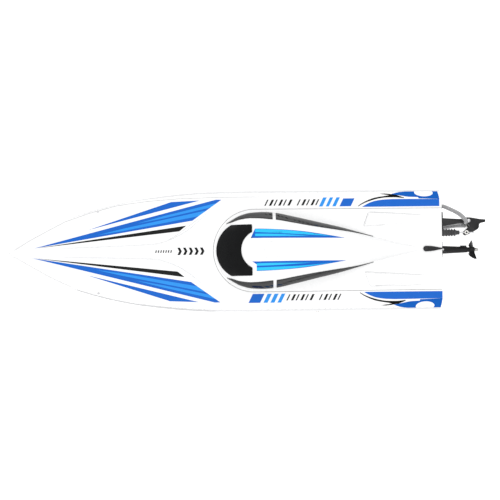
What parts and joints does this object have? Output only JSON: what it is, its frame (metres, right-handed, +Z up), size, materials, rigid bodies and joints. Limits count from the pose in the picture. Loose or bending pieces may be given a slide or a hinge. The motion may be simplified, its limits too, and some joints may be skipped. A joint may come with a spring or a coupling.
{
  "type": "rc boat",
  "caption": "Radio-controlled deep-V racing boat with a tip-up canopy hatch, inboard motor and inclined shaft drive, and a pushrod-steered rudder on its transom.",
  "frame": {"origin": "under the middle of the whole boat, level with the foot of the rudder", "axes": "+X to the bow, +Y to port, +Z up"},
  "size_m": [0.4766, 0.1228, 0.0954],
  "materials": {
    "white_hull": "glossy white moulded plastic",
    "white_deck": "glossy white moulded plastic",
    "white_hatch": "glossy white moulded plastic",
    "white_liner": "satin white moulded liner",
    "foam_seal": "closed-cell black foam",
    "black_plastic": "black glass-filled nylon",
    "black_lever": "black moulded lever",
    "black_rudder": "black glass-filled nylon",
    "steel_screw": "zinc-plated screws",
    "polished_steel": "ground stainless rod",
    "brass_tube": "drawn brass tube",
    "bronze_bush": "sintered bronze",
    "motor_black": "black motor can",
    "blue_anodised": "blue anodised water jacket",
    "mount_alloy": "dark anodised plate",
    "alloy_bright": "turned bright aluminium",
    "servo_blue": "translucent blue servo case",
    "rubber_boot": "dark grey rubber bellows",
    "silicone_hose": "smoky translucent silicone",
    "black_screw": "black oxide set screw",
    "control_black": "finned speed controller",
    "battery_wrap": "blue shrink-wrapped pack",
    "white_tray": "white battery tray",
    "strap_web": "black hook-and-loop strap",
    "wire_red": "red silicone wire",
    "wire_yellow": "yellow silicone wire",
    "wire_brown": "brown servo lead",
    "plug_amber": "amber power plug",
    "horn_white": "white nylon horn",
    "glass_black": "gloss black glazing",
    "glass_smoked": "smoked grey glazing",
    "decal_blue": "royal blue vinyl graphic",
    "decal_light": "light blue vinyl graphic",
    "decal_cyan": "cyan vinyl graphic",
    "decal_black": "black vinyl graphic"
  },
  "bodies": {
    "hull": {"hull_shell": "white_hull", "deck_shell": "white_deck", "deck_screws": "steel_screw", "hatch_frame": "white_liner", "hatch_gasket": "foam_seal", "strut": "black_plastic", "strut_screws": "steel_screw", "stuffing_tube": "brass_tube", "front_bushing": "bronze_bush", "rear_bushing": "bronze_bush", "rudder_bracket": "black_plastic", "bracket_screws": "steel_screw", "motor_can": "motor_black", "water_jacket": "blue_anodised", "motor_mount": "mount_alloy", "motor_screws": "steel_screw", "servo_case": "servo_blue", "servo_mount": "mount_alloy", "servo_screws": "steel_screw", "bellows": "rubber_boot", "hose_grommets": "black_plastic", "hose_upper": "silicone_hose", "hose_lower": "silicone_hose", "hose_inner_in": "silicone_hose", "hose_inner_out": "silicone_hose", "water_outlet": "alloy_bright", "speed_control": "control_black", "control_pad": "foam_seal", "receiver": "black_plastic", "receiver_pad": "foam_seal", "battery_pack": "battery_wrap", "battery_tray": "white_tray", "battery_straps": "strap_web", "battery_leads": "wire_red", "battery_plug": "plug_amber", "control_leads": "wire_red", "motor_leads": "wire_yellow", "servo_lead": "wire_brown"},
    "driveline": {"drive_shaft": "polished_steel", "shaft_coupler": "alloy_bright", "coupler_screws": "steel_screw", "motor_shaft": "polished_steel", "drive_dog": "alloy_bright", "propeller": "black_plastic", "prop_nut": "alloy_bright"},
    "rudder": {"rudder_blade": "black_rudder", "rudder_pin": "polished_steel", "rudder_nipples": "alloy_bright"},
    "servo_horn": {"servo_horn": "horn_white", "horn_screw": "steel_screw"},
    "pushrod": {"pushrod": "polished_steel", "rod_stopper": "alloy_bright", "stopper_screw": "black_screw"},
    "bellows_tip": {"bellows_nose": "rubber_boot"},
    "hatch": {"hatch_cover": "white_hatch", "windshield": "glass_black", "side_windows": "glass_smoked"},
    "latch": {"latch_lever": "black_lever", "latch_screw": "steel_screw", "latch_cam": "black_plastic"}
  },
  "joints": [
    {"name": "prop_spin", "type": "hinge", "parent": "hull", "child": "driveline", "pos_m": [-0.22625, 0, 0.027], "axis": [0.9925, 0, 0.1219], "continuous": true},
    {"name": "rudder_steer", "type": "hinge", "parent": "hull", "child": "rudder", "pos_m": [-0.22155, -0.0279, 0.048], "axis": [0, 0, 1], "range_deg": [-25, 25], "deforming": ["bellows", "bellows_nose", "hose_upper", "hose_lower"]},
    {"name": "servo_turn", "type": "hinge", "parent": "hull", "child": "servo_horn", "pos_m": [-0.14675, -0.0279, 0.058], "axis": [0, 0, 1], "range_deg": [-26, 26]},
    {"name": "rod_swing", "type": "hinge", "parent": "servo_horn", "child": "pushrod", "pos_m": [-0.14405, -0.016, 0.0604], "axis": [0, 0, 1], "range_deg": [-26, 26]},
    {"name": "boot_slide", "type": "slide", "parent": "hull", "child": "bellows_tip", "axis": [-0.9762, 0.2167, 0], "range_m": [-0.0056, 0.0056]},
    {"name": "hatch_open", "type": "hinge", "parent": "hull", "child": "hatch", "pos_m": [0.03395, 0, 0.0681], "axis": [0, 1, 0], "range_deg": [0, 40]},
    {"name": "latch_turn", "type": "hinge", "parent": "hatch", "child": "latch", "pos_m": [-0.17735, 0, 0.069], "axis": [0, 0, 1], "range_deg": [0, 90]}
  ],
  "couplings": [
    {"joint": "servo_turn", "follows": "rudder_steer", "ratio": 1},
    {"joint": "rod_swing", "follows": "rudder_steer", "ratio": -1},
    {"joint": "boot_slide", "follows": "rudder_steer", "m_per_rad": 0.0118}
  ]
}
